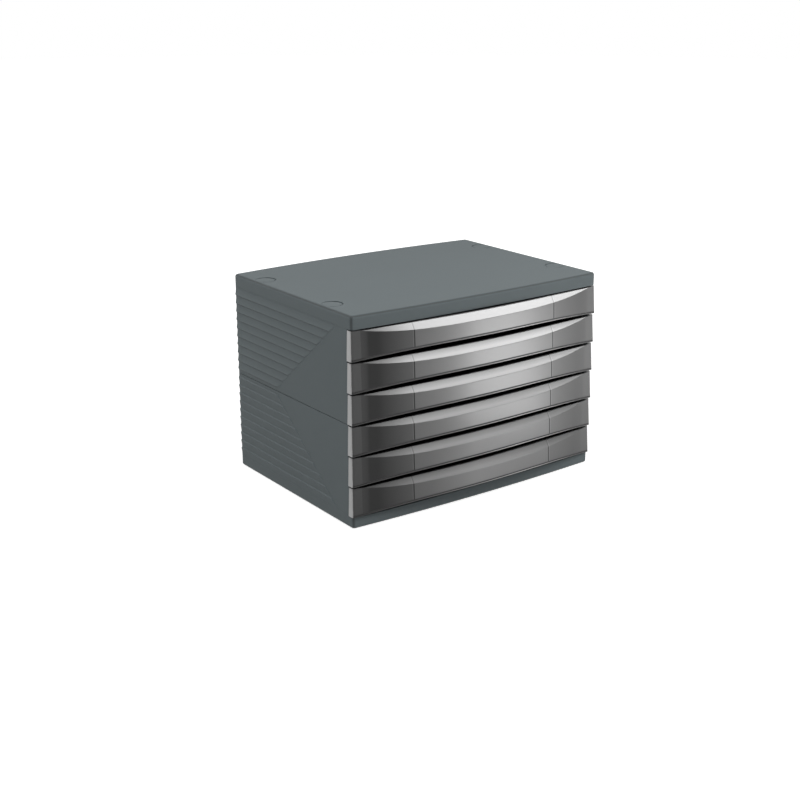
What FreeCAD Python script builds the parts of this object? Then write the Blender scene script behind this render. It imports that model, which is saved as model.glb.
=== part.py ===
import FreeCAD, Part
import math
import os

from FreeCAD import Vector

# Desktop drawer unit: a plastic casing in two stacked modules, with a cover, a base and six smoked drawers.
# Millimetres. X runs across the width, the drawer fronts face -Y, Z is up.
# The origin is at the bottom centre of the whole object.

# Whole object
overall_width = 365.0
overall_depth = 280.0
overall_height = 250.0
drawer_count = 6
module_count = 2

# Plan shape
front_bulge = 17.0        # a drawer front at mid-width stands this far ahead of its ends
cover_bow = 5.5           # cover and base at mid-width, ahead of their corners
rear_bow = 8.5            # back at mid-width, behind its corners
rib_relief = 1.0          # side louvres stand this far out of the plain wall
corner_radius = 4.0
ends_y = -overall_depth / 2 + front_bulge
rear_y = overall_depth / 2 - rear_bow
half_width = overall_width / 2 - rib_relief

# Heights
foot_drop = 1.0           # feet below the base
base_top = 14.0
cover_height = 16.0
cover_bottom = overall_height - cover_height
module_height = (cover_bottom - base_top) / module_count
seam_z = base_top + module_height
pitch = (cover_bottom - base_top) / drawer_count
drawers_per_module = drawer_count // module_count

# Casing modules
wall = 2.2
casing_front_y = ends_y + 8.0
flange_width = 12.0       # front edge of the side walls, turned inwards
runner_width = 18.5
runner_thickness = 2.4
runner_end_y = 118.0
guide_thickness = 1.6     # upright rib beside each runner, which keeps a drawer straight
guide_height = 5.0
seam_height = 0.4         # rebate on both sides of the middle seam
seam_depth = 1.0
edge_seam = 0.15          # the same next to the cover and the base, where it hardly shows

# Side louvres
louvre_count = 10
louvre_margin = 0.5       # plain strip next to the cover and the base
louvre_seam_margin = 4.5  # the same next to the middle seam
louvre_root = 0.1         # a louvre's hidden edge stands this far out of the wall
louvre_lip = 1.3          # height of the slanting underside of a louvre's crest
louvre_flare = 0.25       # share of the relief reached half-way between root and crest
louvre_wrap = 84.0        # degrees that the louvres turn round the rear corner
plain_start = 29.0        # the plain triangle next to the cover or base, from the casing's ends
plain_apex = 163.0        # the same at the middle seam
louvre_fade = 3.0         # a louvre's end slants back this far for each millimetre of relief

# Cover and base
skin = 2.2
cover_edge_radius = 3.5
base_edge_radius = 2.0
locating_drop = 1.2       # ribs of the cover and base that reach between the runners
locating_gap = 0.4
recess_radius = 12.5      # stacking recesses in the cover, over the feet
recess_depth = 0.45
rim_groove_width = 1.6    # groove at a recess's rim
rim_groove_depth = 1.2
foot_x = 167.0
foot_front_y = ends_y + 58.0
foot_rear_y = ends_y + 203.0
foot_radius = 9.0
foot_socket = 1.2
socket_gap = 0.2
deck_thickness = 2.0      # closes the base's front, under the lowest drawer front
rib_setback = 3.0         # inner ribs of the cover and base keep this far from the casing
cross_ribs_y = (ends_y + 90.0, ends_y + 170.0)

# Drawer trays
travel = 175.0
running_gap = 0.2
side_gap = 0.7            # between a tray's side and the casing's front edge
tray_half_width = half_width - flange_width - side_gap
tray_wall = 1.8
tray_height = 33.2
tray_front_height = 26.0  # the front wall is lower, for the hand
tray_shoulder = 14.0      # where the front wall steps down, from the tray's side
tray_front_y = casing_front_y - 0.5
tray_rear_y = 116.0
tray_corner = 6.0
lug_reach = 4.5           # stop lugs, which meet the casing's front edge from inside
lug_length = 8.0
lug_height = 10.0
lug_rise = 11.0
stop_gap = 0.3

# Drawer fronts
front_wall = 2.0
front_lean = 2.0          # the foot of the face is this far ahead of its top
front_top = pitch - 1.1
front_back_y = tray_front_y
front_corner = 3.5
rim_radius = 1.0          # small roundings along the scoop
face_top_mid = 26.1       # where the face meets the scoop, at mid-width
scoop_tip_x = 173.0
scoop_power = 3.5
scoop_slope = 1.58        # rise of the scoop for each millimetre back
arch_mid = 7.0            # the face's lower edge at mid-width
arch_end = 1.0
arch_power = 3.0
lip_height = 0.6          # plain lip along the lower edge, under a fine groove
lip_groove_height = 2.0
lip_groove_depth = 0.5
face_bow = front_bulge - front_lean * (1 - arch_mid / front_top)
front_flare = rib_relief / (1 - arch_end / front_top)
face_limit = half_width + front_flare
field_half = 104.0        # two inner ribs, which show through the face as lines
rib_thickness = 1.6
rib_rise = 25.5           # height of an inner rib at its back
web_z = 8.5
end_box = flange_width + 0.6
hook_rise = 11.5
hook_height = 8.0
hook_reach = 1.6
hook_tongue = 2.2         # the hook's thickness behind the tray's front wall
hook_gap = 0.2

LEFT, RIGHT = -1, 1
SIDES = (LEFT, RIGHT)
FAR = 200.0               # beyond the object, sideways and in height
AHEAD = -170.0            # ahead of every drawer front
ROOM = 5.0                # a cutting block reaches this far past what it cuts


def box(x0, x1, y0, y1, z0, z1):
    return Part.makeBox(x1 - x0, y1 - y0, z1 - z0, Vector(x0, y0, z0))


def side_box(side, x0, x1, y0, y1, z0, z1):
    """A box that runs outwards from x0 to x1 on one side of the object."""
    low, high = sorted((side * x0, side * x1))
    return box(low, high, y0, y1, z0, z1)


def fuse_all(shapes):
    return shapes[0].multiFuse(shapes[1:]).removeSplitter()


def raised(shape, z):
    moved = shape.copy()
    moved.translate(Vector(0, 0, z))
    return moved


def arc(start, middle, end):
    return Part.Arc(Vector(*start), Vector(*middle), Vector(*end)).toShape()


def line(start, end):
    return Part.LineSegment(Vector(*start), Vector(*end)).toShape()


def plan(half, front, bow_front, rear, bow_rear, z):
    """A closed outline in plan: straight sides, with the front and the rear bowed outwards."""
    front_edge = line((-half, front, z), (half, front, z))
    if bow_front:
        front_edge = arc((-half, front, z), (0, front - bow_front, z), (half, front, z))
    right_edge = line((half, front, z), (half, rear, z))
    rear_edge = line((half, rear, z), (-half, rear, z))
    if bow_rear:
        rear_edge = arc((half, rear, z), (0, rear + bow_rear, z), (-half, rear, z))
    left_edge = line((-half, rear, z), (-half, front, z))
    return Part.Wire([front_edge, right_edge, rear_edge, left_edge])


def slab(outline, height):
    return Part.Face(outline).extrude(Vector(0, 0, height))


def polygon_face(points):
    return Part.Face(Part.makePolygon(points + [points[0]]))


def is_upright(edge):
    ends = [v.Point for v in edge.Vertexes]
    if len(ends) != 2:
        return False
    way = ends[1] - ends[0]
    return abs(way.z) > 5 * math.hypot(way.x, way.y)


def at_rear(point):
    return point.y > 0


def anywhere(point):
    return True


def round_uprights(shape, radius, where=anywhere):
    return shape.makeFillet(radius, [e for e in shape.Edges if is_upright(e) and where(e.CenterOfMass)])


def round_level(shape, radius, z, where=anywhere):
    """Rounds the edges that lie flat at one height."""
    def flat(edge):
        bounds = edge.BoundBox
        return abs(bounds.ZMin - z) < 0.01 and abs(bounds.ZMax - z) < 0.01
    return shape.makeFillet(radius, [e for e in shape.Edges if flat(e) and where(e.CenterOfMass)])


# Louvres: a flared saw-tooth profile that runs along the side and turns round the rear corner
def louvre_profile(side, seam_end, far_end):
    """Profile in the XZ plane, from the middle seam outwards, with each crest at the end near the seam."""
    step = (far_end - seam_end) / louvre_count
    lip = math.copysign(louvre_lip, step)

    def point(out, z):
        return side * (half_width + out), 0, z

    half_way = louvre_root + louvre_flare * (rib_relief - louvre_root)
    edges = [line(point(-wall / 2, seam_end), point(louvre_root, seam_end))]
    for i in range(louvre_count):
        start = seam_end + i * step
        end = start + step
        crest = start + lip
        edges.append(line(point(louvre_root, start), point(rib_relief, crest)))
        middle = (crest + end) / 2
        edges.append(arc(point(rib_relief, crest), point(half_way, middle), point(louvre_root, end)))
    edges.append(line(point(louvre_root, far_end), point(-wall / 2, far_end)))
    edges.append(line(point(-wall / 2, far_end), point(-wall / 2, seam_end)))
    return Part.Face(Part.Wire(edges))


def plain_side(side, upper):
    """The front part of the side, without louvres. It ends in a line that slants back to the middle seam."""
    outer_z = cover_bottom if upper else base_top

    def outline(out):
        shift = louvre_fade * out
        corners = [(AHEAD, outer_z), (ends_y + plain_start + shift, outer_z),
                   (ends_y + plain_apex + shift, seam_z), (AHEAD, seam_z)]
        points = [Vector(side * (half_width + out), y, z) for y, z in corners]
        return Part.makePolygon(points + [points[0]])

    return Part.makeLoft([outline(-1.5 * rib_relief), outline(1.5 * rib_relief)], True, True)


def louvres(side, upper):
    if upper:
        profile = louvre_profile(side, seam_z + louvre_seam_margin, cover_bottom - louvre_margin)
    else:
        profile = louvre_profile(side, seam_z - louvre_seam_margin, base_top + louvre_margin)
    corner_y = rear_y - corner_radius
    start_y = ends_y + plain_start - louvre_fade
    straight = profile.copy()
    straight.translate(Vector(0, start_y, 0))
    straight = straight.extrude(Vector(0, corner_y - start_y, 0))
    turned = profile.copy()
    turned.translate(Vector(0, corner_y, 0))
    centre = Vector(side * (half_width - corner_radius), corner_y, 0)
    turned = turned.revolve(centre, Vector(0, 0, 1), side * louvre_wrap)
    return straight.fuse(turned).cut(plain_side(side, upper))


def seam_ring(z, height, depth):
    """The material that a rebate takes off the outside of the casing."""
    outside = slab(plan(half_width + ROOM, casing_front_y - ROOM, 0, rear_y + ROOM, rear_bow, z), height)
    inside = slab(plan(half_width - depth, casing_front_y + depth, 0, rear_y - depth, rear_bow, z), height)
    return outside.cut(round_uprights(inside, corner_radius - depth, at_rear))


def casing_shell(z0, z1):
    """Side walls with their front edges turned in, and the bowed back."""
    height = z1 - z0
    outer = slab(plan(half_width, casing_front_y, 0, rear_y, rear_bow, z0), height)
    outer = round_uprights(outer, corner_radius, at_rear)
    inner_plan = plan(half_width - wall, casing_front_y + wall, 0, rear_y - wall, rear_bow, z0)
    inner = round_uprights(slab(inner_plan, height), corner_radius - wall, at_rear)
    mouth = half_width - flange_width
    doorway = box(-mouth, mouth, casing_front_y, casing_front_y + wall, z0, z1)
    return outer.cut(inner).cut(doorway)


def runner(side, level, z0, z1):
    """A ledge at one level. Next to another module, the cover or the base, it has half the thickness."""
    low = max(z0, level - runner_thickness / 2)
    high = min(z1, level + runner_thickness / 2)
    start_y = casing_front_y + wall / 2
    end_y = runner_end_y
    ledge = side_box(side, half_width - runner_width, half_width - wall / 2, start_y, end_y, low, high)
    if high == z1:
        return ledge
    guide_x = half_width - flange_width
    guide = side_box(side, guide_x, guide_x + guide_thickness, start_y, end_y, level, high + guide_height)
    return ledge.fuse(guide)


def casing(upper):
    """One casing module. The lower one is the same moulding turned over, apart from its guide ribs."""
    z0 = seam_z if upper else base_top
    z1 = z0 + module_height
    pieces = [casing_shell(z0, z1)]
    for side in SIDES:
        for i in range(drawers_per_module + 1):
            pieces.append(runner(side, z0 + i * pitch, z0, z1))
        pieces.append(louvres(side, upper))
    body = fuse_all(pieces)
    middle = seam_z if upper else seam_z - seam_height
    outer = cover_bottom - edge_seam if upper else base_top
    return body.cut(seam_ring(middle, seam_height, seam_depth)).cut(seam_ring(outer, edge_seam, seam_depth))


# Cover and base
def cover_block(z0, z1, inset=0.0):
    outline = plan(half_width - inset, ends_y + inset, cover_bow, rear_y - inset, rear_bow, z0)
    return round_uprights(slab(outline, z1 - z0), corner_radius - inset)


def sloped_floor(side, y, depth):
    """Everything above a floor that is deepest on the recess's inner side and runs out on the other."""
    size = 4 * recess_radius
    block = Part.makeBox(size, size, 2 * ROOM, Vector(-size / 2, -size / 2, 0))
    slope = math.degrees(math.atan2(depth, 2 * recess_radius))
    block.rotate(Vector(0, 0, 0), Vector(0, 1, 0), -side * slope)
    block.translate(Vector(side * foot_x, y, overall_height - depth / 2))
    return block


def recess(side, y):
    """A shallow round recess with a deeper groove at its rim, both running out towards the cover's edge."""
    centre = Vector(side * foot_x, y, overall_height - ROOM)
    disc = Part.makeCylinder(recess_radius, 2 * ROOM, centre)
    ring = disc.cut(Part.makeCylinder(recess_radius - rim_groove_width, 2 * ROOM, centre))
    shallow = disc.common(sloped_floor(side, y, recess_depth))
    return shallow.fuse(ring.common(sloped_floor(side, y, rim_groove_depth)))


def inner_ribs(z0, z1, cross_z0, cross_z1):
    """Two ribs front to back that fit between the runners, and two across."""
    rib_x = half_width - runner_width - locating_gap
    ribs = []
    for side in SIDES:
        ribs.append(side_box(side, rib_x - wall, rib_x, casing_front_y + rib_setback, runner_end_y, z0, z1))
    for y in cross_ribs_y:
        ribs.append(box(-rib_x, rib_x, y, y + wall, cross_z0, cross_z1))
    return ribs


def top_cover():
    """A shallow lid: skin, skirt, ribs inside and four stacking recesses."""
    outer = round_level(cover_block(cover_bottom, overall_height), cover_edge_radius, overall_height)
    shell = outer.cut(cover_block(cover_bottom, overall_height - skin, inset=wall))
    for side in SIDES:
        for y in (foot_front_y, foot_rear_y):
            shell = shell.cut(recess(side, y))
    rib_top = overall_height - skin
    cross_z = cover_bottom + rib_setback
    return fuse_all([shell] + inner_ribs(cover_bottom - locating_drop, rib_top, cross_z, rib_top))


def base_plate():
    """A shallow tray with a deck behind its front lip, ribs inside and four sockets for the feet."""
    outer = round_level(cover_block(foot_drop, base_top), base_edge_radius, foot_drop)
    shell = outer.cut(cover_block(foot_drop + skin, base_top, inset=wall))
    deck = cover_block(base_top - deck_thickness, base_top, inset=wall / 2)
    deck = deck.common(box(-FAR, FAR, -FAR, casing_front_y + wall, 0, base_top))
    floor_z = foot_drop + skin / 2
    ribs = inner_ribs(floor_z, base_top + locating_drop - running_gap, floor_z, base_top - rib_setback)
    body = fuse_all([shell, deck] + ribs)
    for side in SIDES:
        for y in (foot_front_y, foot_rear_y):
            centre = Vector(side * foot_x, y, foot_drop)
            body = body.cut(Part.makeCylinder(foot_radius + socket_gap, foot_socket, centre))
    return body


def foot(side, y):
    disc = Part.makeCylinder(foot_radius, foot_drop + foot_socket, Vector(side * foot_x, y, 0))
    return round_level(disc, foot_drop / 2, 0)


# Drawers, made with the runner's level at z = 0
def tray():
    """An open tray: two sides, a back, a lower front, a floor and a stop lug on each side."""
    z0 = runner_thickness / 2 + running_gap
    half = tray_half_width
    outer = box(-half, half, tray_front_y, tray_rear_y, z0, z0 + tray_height)
    outer = round_uprights(outer, tray_corner / 2, at_rear)
    inner = box(-half + tray_wall, half - tray_wall, tray_front_y + tray_wall, tray_rear_y - tray_wall,
                z0 + tray_wall, z0 + tray_height)
    body = outer.cut(round_uprights(inner, tray_corner))
    step_z = z0 + tray_front_height
    dip_x = half - tray_shoulder
    dip_y = tray_front_y + tray_wall + tray_corner
    dip = box(-dip_x, dip_x, tray_front_y, dip_y, step_z, z0 + tray_height)
    dip = round_level(dip, tray_corner, step_z, lambda point: abs(point.x) > 1)
    lug_y = casing_front_y + wall + travel + stop_gap
    pieces = [body.cut(dip)]
    for side in SIDES:
        pieces.append(side_box(side, half - tray_wall / 2, half + lug_reach, lug_y, lug_y + lug_length,
                               z0 + lug_rise, z0 + lug_rise + lug_height))
    body = fuse_all(pieces)
    for side in SIDES:
        body = body.cut(hook(side, hook_gap, tray_front_y))
    return body


def hook(side, gap, start_y):
    """The tongue of a drawer front that goes through the tray's front wall, with gap added all round."""
    inner_x = field_half - rib_thickness / 2 - gap
    outer_x = field_half + rib_thickness / 2 + gap
    back_y = tray_front_y + tray_wall
    z0 = hook_rise - gap
    z1 = hook_rise + hook_height + gap
    if gap:
        return side_box(side, inner_x, outer_x + hook_reach, start_y, back_y, z0, z1)
    end_y = back_y + hook_tongue
    tongue = side_box(side, inner_x, outer_x, start_y, end_y, z0, z1)
    catch = side_box(side, inner_x, outer_x + hook_reach, back_y + hook_gap / 2, end_y, z0, z1)
    return tongue.fuse(catch)


def front_block(inset, z_low, z_high, back):
    """Solid between the face and a flat back. The face leans outwards and flares towards its foot."""
    def outline(z):
        share = 1 - z / front_top
        half = half_width + front_flare * share - inset
        front = ends_y - front_lean * share + inset
        return plan(half, front, face_bow, back, 0, z)
    block = Part.makeLoft([outline(z_low), outline(z_high)], True, True)
    return round_uprights(block, front_corner - inset, lambda point: point.y < front_back_y - ROOM / 2)


def curved_face(y, height_at, far_z):
    """The face between a smooth curve z = height_at(x), at one y, and a level line above or below it."""
    steps = 8
    points = []
    for i in range(-steps, steps + 1):
        x = FAR * i / steps
        points.append(Vector(x, y, height_at(x)))
    curve = Part.BSplineCurve()
    curve.interpolate(points)
    right, left = Vector(FAR, y, far_z), Vector(-FAR, y, far_z)
    edges = [curve.toShape(), line(points[-1], right), line(right, left), line(left, points[0])]
    return Part.Face(Part.Wire(edges))


def front_cutter(line_on_face, slope, far_z):
    """Everything over (or under) a surface that starts from a line on the face and rises by slope."""
    start_y = AHEAD
    reach = front_back_y + 2 * ROOM - start_y

    def height(x):
        z = line_on_face(x)
        face_y = ends_y - front_lean * (1 - z / front_top) - face_bow * (1 - (x / face_limit) ** 2)
        return z + slope * (start_y - face_y)

    return curved_face(start_y, height, far_z).extrude(Vector(0, reach, reach * slope))


def scoop_cutter(depth):
    """Everything over the scoop, or over a surface that lies depth under it."""
    drop = depth * math.hypot(1, scoop_slope)

    def line_on_face(x):
        return face_top_mid + (front_top - face_top_mid) * abs(x / scoop_tip_x) ** scoop_power - drop

    return front_cutter(line_on_face, scoop_slope, FAR)


def arch(x):
    return arch_mid - (arch_mid - arch_end) * abs(x / face_limit) ** arch_power


def arch_cutter():
    """Everything below the face's arched lower edge."""
    return curved_face(AHEAD, arch, -FAR).extrude(Vector(0, front_back_y + 2 * ROOM - AHEAD, 0))


def lip_groove():
    """A fine V-shaped groove that follows the arch."""
    half = lip_groove_height / 2
    slope = half / lip_groove_depth
    over = front_cutter(lambda x: arch(x) + lip_height, slope, FAR)
    under = front_cutter(lambda x: arch(x) + lip_height + 2 * half, -slope, -FAR)
    return over.common(under)


def outer_front():
    """The front's outer form: a block with its scoop and arch cut away."""
    def along_scoop(edge):
        bounds = edge.BoundBox
        near_top = bounds.ZMax > front_top - front_wall / 2
        return near_top and bounds.XLength > half_width and bounds.YMax < front_back_y - front_wall / 4
    block = front_block(0, 0, front_top, front_back_y).cut(scoop_cutter(0))
    block = block.makeFillet(rim_radius, [e for e in block.Edges if along_scoop(e)])
    return block.cut(arch_cutter()).cut(lip_groove())


def drawer_front():
    """A thin bowed shell: face, scoop and ends, with two inner ribs, end boxes and hooks for the tray."""
    back = front_back_y + ROOM
    inner = front_block(front_wall, -ROOM, front_top + ROOM, back).cut(scoop_cutter(front_wall))
    well_x = half_width - end_box
    well = box(-well_x, well_x, AHEAD, back, -ROOM, front_top + ROOM)
    below_top = box(-FAR, FAR, AHEAD, back, -ROOM, front_top - front_wall)
    shell = outer_front().cut(inner.common(well.fuse(below_top)))
    room = front_block(front_wall / 2, 0, front_top, front_back_y).cut(scoop_cutter(front_wall / 2))
    pieces = [shell]
    for side in SIDES:
        inner_x = field_half - rib_thickness / 2
        rib_outline = [(AHEAD, 0), (front_back_y, 0), (front_back_y, rib_rise), (ends_y - ROOM, front_top),
                       (AHEAD, front_top)]
        rib = polygon_face([Vector(side * inner_x, y, z) for y, z in rib_outline])
        pieces.append(rib.extrude(Vector(side * rib_thickness, 0, 0)).common(room))
        end_x = half_width - front_wall / 2
        web = side_box(side, inner_x, end_x, AHEAD, front_back_y, web_z, web_z + rib_thickness)
        pieces.append(web.common(room))
        pieces.append(hook(side, 0, front_back_y - front_wall))
    return fuse_all(pieces).cut(arch_cutter())


def save(shape, name):
    if not shape.isValid():
        print("not valid:", name)
    shape.exportStep("parts/" + name + ".step")
    counts = (name, len(shape.Solids), len(shape.Faces), shape.Volume / 1000)
    print("%-20s solids %d  faces %3d  volume %8.1f cm3" % counts)


def main():
    os.makedirs("parts", exist_ok=True)
    save(top_cover(), "top_cover")
    save(casing(upper=True), "upper_casing")
    save(casing(upper=False), "lower_casing")
    save(base_plate(), "base_plate")
    for side, side_name in ((LEFT, "left"), (RIGHT, "right")):
        save(foot(side, foot_front_y), "foot_front_" + side_name)
        save(foot(side, foot_rear_y), "foot_rear_" + side_name)
    tray_moulding = tray()
    front_moulding = drawer_front()
    for i in range(drawer_count):
        level = cover_bottom - (i + 1) * pitch
        save(raised(tray_moulding, level), "drawer_tray_%d" % (i + 1))
        save(raised(front_moulding, level), "drawer_front_%d" % (i + 1))


main()
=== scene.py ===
"""Looks of a desktop drawer unit: grained grey casing, smoke-tinted drawers, studio floor and light."""

import math

import bpy
from mathutils import Matrix, Vector

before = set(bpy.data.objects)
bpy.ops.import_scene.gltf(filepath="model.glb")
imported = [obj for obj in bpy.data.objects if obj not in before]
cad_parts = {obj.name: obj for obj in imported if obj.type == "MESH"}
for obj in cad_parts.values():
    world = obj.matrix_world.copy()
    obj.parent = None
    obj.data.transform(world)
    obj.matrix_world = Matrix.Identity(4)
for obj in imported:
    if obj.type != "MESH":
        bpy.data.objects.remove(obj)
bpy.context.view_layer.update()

# The camera, which stands as in the photograph
SENSOR = 36.0
LENS = 58.75
CAMERA_AT = (-0.9392, -1.2516, 0.6076)
CAMERA_AZIMUTH = -36.11
CAMERA_ELEVATION = 18.41

DRAWERS = range(1, 7)
FEET = ("foot_front_left", "foot_front_right", "foot_rear_left", "foot_rear_right")

# Places on the drawer fronts, in metres: the drawers' pitch and lowest edge, half the width of a face, the
# arch under a face, and the inner ribs
PITCH = 0.220 / 6
FIRST_FOOT = 0.014
TOP_DRAWER_FOOT = FIRST_FOOT + 5 * PITCH
FACE_LIMIT = 0.1825
ARCH_MID = 0.007
ARCH_DROP = 0.006
ARCH_POWER = 3.0
RIB_AT = 0.104
RIB_WIDTH = 0.0018
RIB_SOFT = 0.0003

# Soft limits of zones on the fronts, from and to: heights over the arch, over a drawer's lowest edge and over
# the floor, and metres to the right of mid-width
LIP_END = (0.0007, 0.0010)
GROOVE_END = (0.0024, 0.0030)
SHADE_START = (0.029, 0.035)
LOW_END = (0.0, 0.18)
LOWEST_END = (0.055, 0.095)
COVERED_END = (TOP_DRAWER_FOOT - 0.002, TOP_DRAWER_FOOT)
NARROW_END = (-0.158, -0.108)

# Painted light on a front's smaller places: light on the left end, a highlight on the right corner, and shade
# in the groove above the lip
LEFT_END_PAINTED_LIGHT = 0.34
CORNER_PAINTED_HIGHLIGHT = 0.12
GROOVE_PAINTED_SHADE = 0.012

# Tint of a drawer front, by metres to the right of mid-width. From either end: the casing's edge, the dark
# end of the drawer, a light line beside an inner rib, and then the tray. Its right half is lighter than its
# left, which is painted light.
FRONT_TINT_AND_PAINTED_LIGHT = ((-0.183, 0.045), (-0.1710, 0.042), (-0.1700, 0.02), (-0.164, 0.014), (-0.161, 0.003),
              (-0.152, 0.003), (-0.143, 0.010), (-0.1062, 0.03), (-0.1058, 0.055), (-0.1050, 0.055),
              (-0.1030, 0.05), (-0.02, 0.075), (0.1030, 0.06), (0.1050, 0.10), (0.1058, 0.10), (0.1062, 0.05),
              (0.155, 0.035), (0.163, 0.04), (0.168, 0.06), (0.183, 0.06))

# Painted highlight along the lip under the face, brightest right of mid-width, likewise
LIP_PAINTED_HIGHLIGHT = ((-0.17, 0.03), (-0.10, 0.06), (0.0, 0.25), (0.05, 0.42), (0.10, 0.30), (0.15, 0.10), (0.18, 0.06))

# Painted highlight that the two lowest faces gain, likewise
LOWEST_FACES_PAINTED_HIGHLIGHT = ((-0.08, 0.0), (-0.01, 0.045), (0.03, 0.03), (0.10, 0.0))

# Gloss of a front's face, likewise
FACE_GLOSS = ((-0.183, 0.1), (-0.168, 0.1), (-0.160, 0.0), (-0.148, 0.0), (-0.1056, 0.33), (-0.1028, 0.5),
              (-0.02, 1.0), (0.1028, 1.0), (0.1056, 0.8), (0.150, 0.5), (0.183, 0.5))

# Colours of the casing's plastic, then a painted-highlight colour and a painted-shade colour for it
SLATE_DARK = (0.076, 0.091, 0.095, 1)
SLATE_LIGHT = (0.089, 0.107, 0.112, 1)
SLATE_PAINTED_HIGHLIGHT = (0.128, 0.15, 0.156, 1)
SLATE_PAINTED_SHADE = (0.02, 0.022, 0.023, 1)
WHITE = (1, 1, 1, 1)


class Socket:
    """A node's output, with which sums can be written."""

    def __init__(self, finish, link):
        self.finish = finish
        self.link = link

    def math(self, operation, *terms):
        return self.finish.node("ShaderNodeMath", {"operation": operation}, dict(enumerate(terms)))

    def __add__(self, other):
        return self.math("ADD", self, other)

    def __radd__(self, other):
        return self.math("ADD", other, self)

    def __sub__(self, other):
        return self.math("SUBTRACT", self, other)

    def __rsub__(self, other):
        return self.math("SUBTRACT", other, self)

    def __mul__(self, other):
        return self.math("MULTIPLY", self, other)

    def __truediv__(self, other):
        return self.math("DIVIDE", self, other)

    def __mod__(self, other):
        return self.math("MODULO", self, other)

    def __pow__(self, other):
        return self.math("POWER", self, other)

    def __neg__(self):
        return 0.0 - self

    def __abs__(self):
        return self.math("ABSOLUTE", self)

    def or_more(self, other):
        return self.math("MAXIMUM", self, other)

    def limited(self):
        """The value, kept between 0 and 1."""
        return self.math("MINIMUM", self.or_more(0.0), 1.0)

    def rise(self, start, end):
        """0 up to the start, 1 from the end on, and a straight line between them."""
        return ((self - start) / (end - start)).limited()

    def fall(self, start, end):
        """1 up to the start, 0 from the end on, and a straight line between them."""
        return 1 - self.rise(start, end)

    def band(self, low, high, soft):
        """1 where the value lies between low and high, with soft edges."""
        return self.rise(low, low + soft) * self.fall(high - soft, high)

    def less(self, share=1.0):
        """What is left where this mask takes a share away."""
        return 1 - self * share


class Finish:
    """One material, built node by node."""

    def __init__(self, name):
        self.material = bpy.data.materials.new(name)
        self.material.use_nodes = True
        self.tree = self.material.node_tree
        self.shader = self.tree.nodes["Principled BSDF"]

    def node(self, kind, settings=None, inputs=None, output=0):
        made = self.tree.nodes.new(kind)
        for key, value in (settings or {}).items():
            setattr(made, key, value)
        for key, value in (inputs or {}).items():
            self.join(made.inputs[key], value)
        return Socket(self, made.outputs[output])

    def join(self, socket, value):
        if isinstance(value, Socket):
            self.tree.links.new(value.link, socket)
        else:
            socket.default_value = value

    def set(self, **values):
        for key, value in values.items():
            self.join(self.shader.inputs[key.replace("_", " ")], value)

    def component(self, vector, axis):
        return self.node("ShaderNodeSeparateXYZ", None, {0: vector}, output=axis)

    def place(self):
        return self.node("ShaderNodeTexCoord", output="Object")

    def along(self, axis):
        return self.component(self.place(), axis)

    def facing(self, axis):
        """How far the surface faces along an axis: 1 when it faces straight that way, 0 when sideways."""
        return self.component(self.node("ShaderNodeNewGeometry", output="Normal"), axis)

    def slanting(self, low, high):
        """0 on level and upright walls, 1 on a rounded edge between two of them."""
        x, y, z = (abs(self.facing(axis)) for axis in "XYZ")
        return (1 - x.or_more(y).or_more(z)).rise(low, high)

    def noise(self, scale, detail=2.0, roughness=0.5):
        return self.node("ShaderNodeTexNoise", None,
                         {"Vector": self.place(), "Scale": scale, "Detail": detail, "Roughness": roughness})

    def blend(self, share, first, second):
        return self.node("ShaderNodeMix", {"data_type": "RGBA"}, {0: share, 6: first, 7: second}, output=2)

    def grey(self, level):
        return self.node("ShaderNodeCombineColor", None, {"Red": level, "Green": level, "Blue": level})

    def ramp(self, value, stops):
        """A level that changes with the value, in straight lines from stop to stop."""
        level = stops[0][1]
        for (start, low), (end, high) in zip(stops, stops[1:]):
            if low != high:
                level = level + value.rise(start, end) * (high - low)
        return level

    def bump(self, height, strength, distance):
        inputs = {"Height": height, "Strength": strength, "Distance": distance}
        return self.node("ShaderNodeBump", None, inputs)


class GrainedPlastic(Finish):
    """Slate grey moulded plastic with a fine grain and slight unevenness of colour."""

    def __init__(self, name):
        super().__init__(name)
        cloud = self.noise(9.0, 3.0)
        grain = self.noise(1900.0, 3.0, 0.6)
        self.colour = self.blend(cloud * 0.6 + grain * 0.4, SLATE_DARK, SLATE_LIGHT)
        self.set(Roughness=0.62 + grain * 0.12, Specular_IOR_Level=0.3)
        self.set(Normal=self.bump(grain, 0.2, 0.0003))

    # Painted highlight: blends the colour towards a lighter grey where the surface would catch light
    def paint_highlight(self, share):
        self.colour = self.blend(share, self.colour, SLATE_PAINTED_HIGHLIGHT)

    # Painted shade: blends the colour towards a dark grey and sets it as the base colour
    def paint_shade(self, share):
        self.set(Base_Color=self.blend(share, self.colour, SLATE_PAINTED_SHADE))


def cover_plastic():
    """The grained plastic of the cover and base, with painted shade that darkens the rounded edges."""
    finish = GrainedPlastic("cover_plastic")
    # Painted shade on the rounded edges
    finish.paint_shade(finish.slanting(0.02, 0.2) * 0.65)
    return finish.material


def casing_plastic():
    """The grained plastic of the casing, with painted light and shade. The louvres' flared bands and the ends
    that face down are painted lighter than the plain wall, a painted highlight. Their undersides are painted
    darker, painted shade, and so, a little, are the ends that face up."""
    finish = GrainedPlastic("casing_plastic")
    upward = finish.facing("Z")
    forward = (-finish.facing("Y")).rise(0.15, 0.25)
    flared_band = upward.band(0.02, 0.4, 0.15) * forward.less()
    end_facing_down = forward * (-upward).rise(0.2, 0.3)
    end_facing_up = forward * upward.rise(0.2, 0.3)
    underside = (-upward).rise(0.45, 0.53)
    # Painted highlight on the flared bands and on the ends that face down
    finish.paint_highlight(flared_band * 0.3 + end_facing_down * 0.6)
    # Painted shade under the louvres and, a little, on the ends that face up
    finish.paint_shade(underside * 0.45 + end_facing_up * 0.12)
    return finish.material


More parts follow.
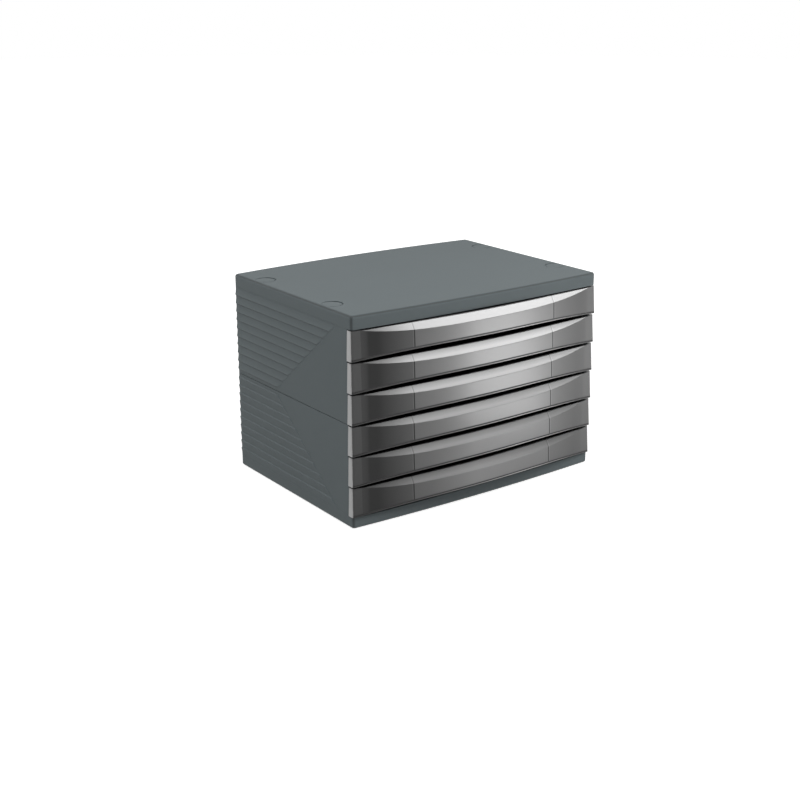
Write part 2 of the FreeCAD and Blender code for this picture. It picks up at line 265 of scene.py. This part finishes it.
def tray_plastic():
    """Plastic with a smoke tint so deep that it passes hardly any light, with faint flow marks."""
    finish = Finish("tray_plastic")
    flow = finish.noise(11.0, 2.0)
    finish.set(Base_Color=finish.blend(flow, (0.012, 0.012, 0.013, 1), (0.018, 0.018, 0.019, 1)))
    finish.set(Roughness=0.33 + flow * 0.04)
    return finish.material


def front_plastic():
    """Smoked plastic, glossy in the scoop and less so on the face. What lies behind it tints it in upright
    zones. Painted light and shade lie on it too: highlights on the right half, the lip, the lowest faces, the
    left end and the right corner, and shade on the lower drawers, the scoops' tops, the groove and the right
    end."""
    finish = Finish("front_plastic")
    flow = finish.noise(11.0, 2.0)
    across = finish.along("X")
    height = finish.along("Z")
    sideways = finish.facing("X")
    over_foot = (height - FIRST_FOOT) % PITCH
    over_arch = over_foot - ARCH_MID + (abs(across) / FACE_LIMIT) ** ARCH_POWER * ARCH_DROP

    # Zones, each a mask from 0 to 1
    scoop = finish.facing("Z").band(0.15, 0.8, 0.2)
    left_end = (-sideways).rise(0.8, 0.925)
    right_end = sideways.rise(0.55, 0.7167)
    bright_corner = sideways.band(0.35, 0.6, 0.05)
    rib = abs(across).band(RIB_AT - RIB_WIDTH / 2, RIB_AT + RIB_WIDTH / 2, RIB_SOFT) * scoop.less(0.5)
    low = height.fall(*LOW_END)
    lowest = height.fall(*LOWEST_END)
    lip = over_arch.fall(*LIP_END)
    edge = over_arch.fall(*GROOVE_END) * left_end.less()
    # Painted shadow of the drawer above, on the top of each scoop below it
    covered = height.fall(*COVERED_END)
    shaded = scoop * covered * over_foot.rise(*SHADE_START)
    narrow_end = scoop * across.fall(*NARROW_END)

    # Painted shade: darker towards the lower drawers, and the painted shadow at the scoops' tops
    face_tint_and_painted_light = finish.ramp(across, FRONT_TINT_AND_PAINTED_LIGHT) * low.less(0.4) * shaded.less(0.6)
    # Painted shade: no tint on the right end. The inner rib shows through as a dark line
    face_tint_and_painted_light = face_tint_and_painted_light * right_end.less() * rib.less(0.95)
    # Painted highlight on the two lowest faces
    face_tint_and_painted_light = face_tint_and_painted_light + finish.ramp(across, LOWEST_FACES_PAINTED_HIGHLIGHT) * lowest * rib.less()
    # Painted highlight on the lip and painted shade in the groove above it
    edge_painted_light_and_shade = lip * finish.ramp(across, LIP_PAINTED_HIGHLIGHT) + lip.less() * GROOVE_PAINTED_SHADE
    tint_and_painted_light = face_tint_and_painted_light * edge.less() + edge_painted_light_and_shade * edge
    # Painted light on the left end and a painted highlight on the right corner
    tint_and_painted_light = tint_and_painted_light + left_end * LEFT_END_PAINTED_LIGHT + bright_corner * CORNER_PAINTED_HIGHLIGHT

    gloss = finish.ramp(across, FACE_GLOSS)
    gloss = (gloss + scoop * (1 - gloss)) * right_end.less() * rib.less(0.9) * low.less(0.25)
    gloss = gloss * edge.less(0.9) * shaded.less(0.45) * narrow_end.less(0.75)
    finish.set(Base_Color=finish.grey(tint_and_painted_light * (0.9 + flow * 0.2)))
    finish.set(Roughness=0.29 + flow * 0.04, Specular_IOR_Level=0.3)
    finish.set(Coat_Weight=gloss, Coat_Roughness=0.28, Coat_IOR=1.8)
    return finish.material


def foot_rubber():
    finish = Finish("foot_rubber")
    grain = finish.noise(900.0, 3.0)
    finish.set(Base_Color=finish.blend(grain, (0.012, 0.012, 0.012, 1), (0.03, 0.03, 0.03, 1)))
    finish.set(Roughness=0.7 + grain * 0.2)
    return finish.material


def dress(nodes, material):
    """Gives each CAD node one material all over."""
    for node in nodes:
        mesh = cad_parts[node].data
        mesh.materials.clear()
        mesh.materials.append(material)


# Studio
def seen_white(finish):
    """1 for the rays that look at the background: from the camera, in reflections, through clear plastic."""
    total = sum(finish.node("ShaderNodeLightPath", output=kind)
                for kind in ("Is Camera Ray", "Is Glossy Ray", "Is Transmission Ray"))
    return total.limited()


def studio_floor():
    bpy.ops.mesh.primitive_circle_add(vertices=96, radius=8, fill_type="NGON", location=(0, 0, 0))
    floor = bpy.context.object
    floor.name = "floor"
    finish = Finish("floor_white")
    out = finish.node("ShaderNodeVectorMath", {"operation": "LENGTH"}, {0: finish.place()}, output="Value")
    glow = 0.75 + out.rise(0.4, 1.2) * 0.25
    finish.set(Base_Color=(0.5, 0.5, 0.5, 1), Roughness=0.9, Specular_IOR_Level=0.0)
    finish.set(Emission_Color=WHITE, Emission_Strength=seen_white(finish) * glow)
    floor.data.materials.append(finish.material)


class World(Finish):
    """The light all round, which looks white from the camera and in reflections."""

    def __init__(self, name, level):
        self.world = bpy.data.worlds.new(name)
        self.world.use_nodes = True
        self.tree = self.world.node_tree
        self.shader = self.tree.nodes["Background"]
        self.set(Color=WHITE, Strength=level + seen_white(self) * (1 - level))
        bpy.context.scene.world = self.world


def softbox(name, place, target, width, height, brightness, along=(1, 0, 0)):
    """A rectangular lamp, its width turned along a direction. Brightness is that of its surface, where 1 is
    the background's white."""
    lamp = bpy.data.lights.new(name, "AREA")
    lamp.shape = "RECTANGLE"
    lamp.size = width
    lamp.size_y = height
    lamp.energy = brightness * math.pi * width * height
    holder = bpy.data.objects.new(name, lamp)
    bpy.context.collection.objects.link(holder)
    holder.location = place
    aim = (Vector(target) - Vector(place)).normalized()
    across = (Vector(along) - aim * aim.dot(Vector(along))).normalized()
    holder.rotation_euler = Matrix((across, across.cross(aim), -aim)).transposed().to_euler()
    holder.visible_camera = False


def photo_camera():
    lens = bpy.data.cameras.new("photo_camera")
    lens.sensor_width = SENSOR
    lens.lens = LENS
    lens.clip_start = 0.05
    holder = bpy.data.objects.new("photo_camera", lens)
    bpy.context.collection.objects.link(holder)
    holder.location = CAMERA_AT
    holder.rotation_euler = (math.pi / 2 - math.radians(CAMERA_ELEVATION), 0, math.radians(CAMERA_AZIMUTH))
    bpy.context.scene.camera = holder


dress(("top_cover", "base_plate"), cover_plastic())
dress(("upper_casing", "lower_casing"), casing_plastic())
dress(("drawer_front_%d" % i for i in DRAWERS), front_plastic())
dress(("drawer_tray_%d" % i for i in DRAWERS), tray_plastic())
dress(FEET, foot_rubber())

studio_floor()
World("studio", level=0.2)
# The first lamp is mirrored by the faces of the fronts, and the second one by their scoops.
softbox("low_strip", (0.30, -0.45, 0.05), (-0.023, -0.064, 0.842), 0.2, 0.5, 3.1, along=(0.77, 0.64, 0))
softbox("scoop_key", (0.633, -0.695, 0.84), (0, -0.13, 0.2), 0.86, 0.32, 7.0, along=(0.895, 0.358, -0.265))
softbox("side_key", (-1.15, 0.15, 1.5), (-0.18, 0, 0.12), 0.6, 0.6, 11.2, along=(0, 1, 0))
softbox("front_fill", (-0.3, -1.15, 1.75), (0, -0.13, 0.12), 0.8, 0.6, 11.0)
softbox("back_fill", (-0.7, 1.6, 1.1), (0, 0.14, 0.12), 0.8, 0.6, 3.4)
softbox("right_fill", (1.5, 0.35, 1.0), (0.18, 0, 0.12), 0.6, 0.6, 3.2, along=(0, 1, 0))
photo_camera()
bpy.context.scene.view_settings.view_transform = "Standard"
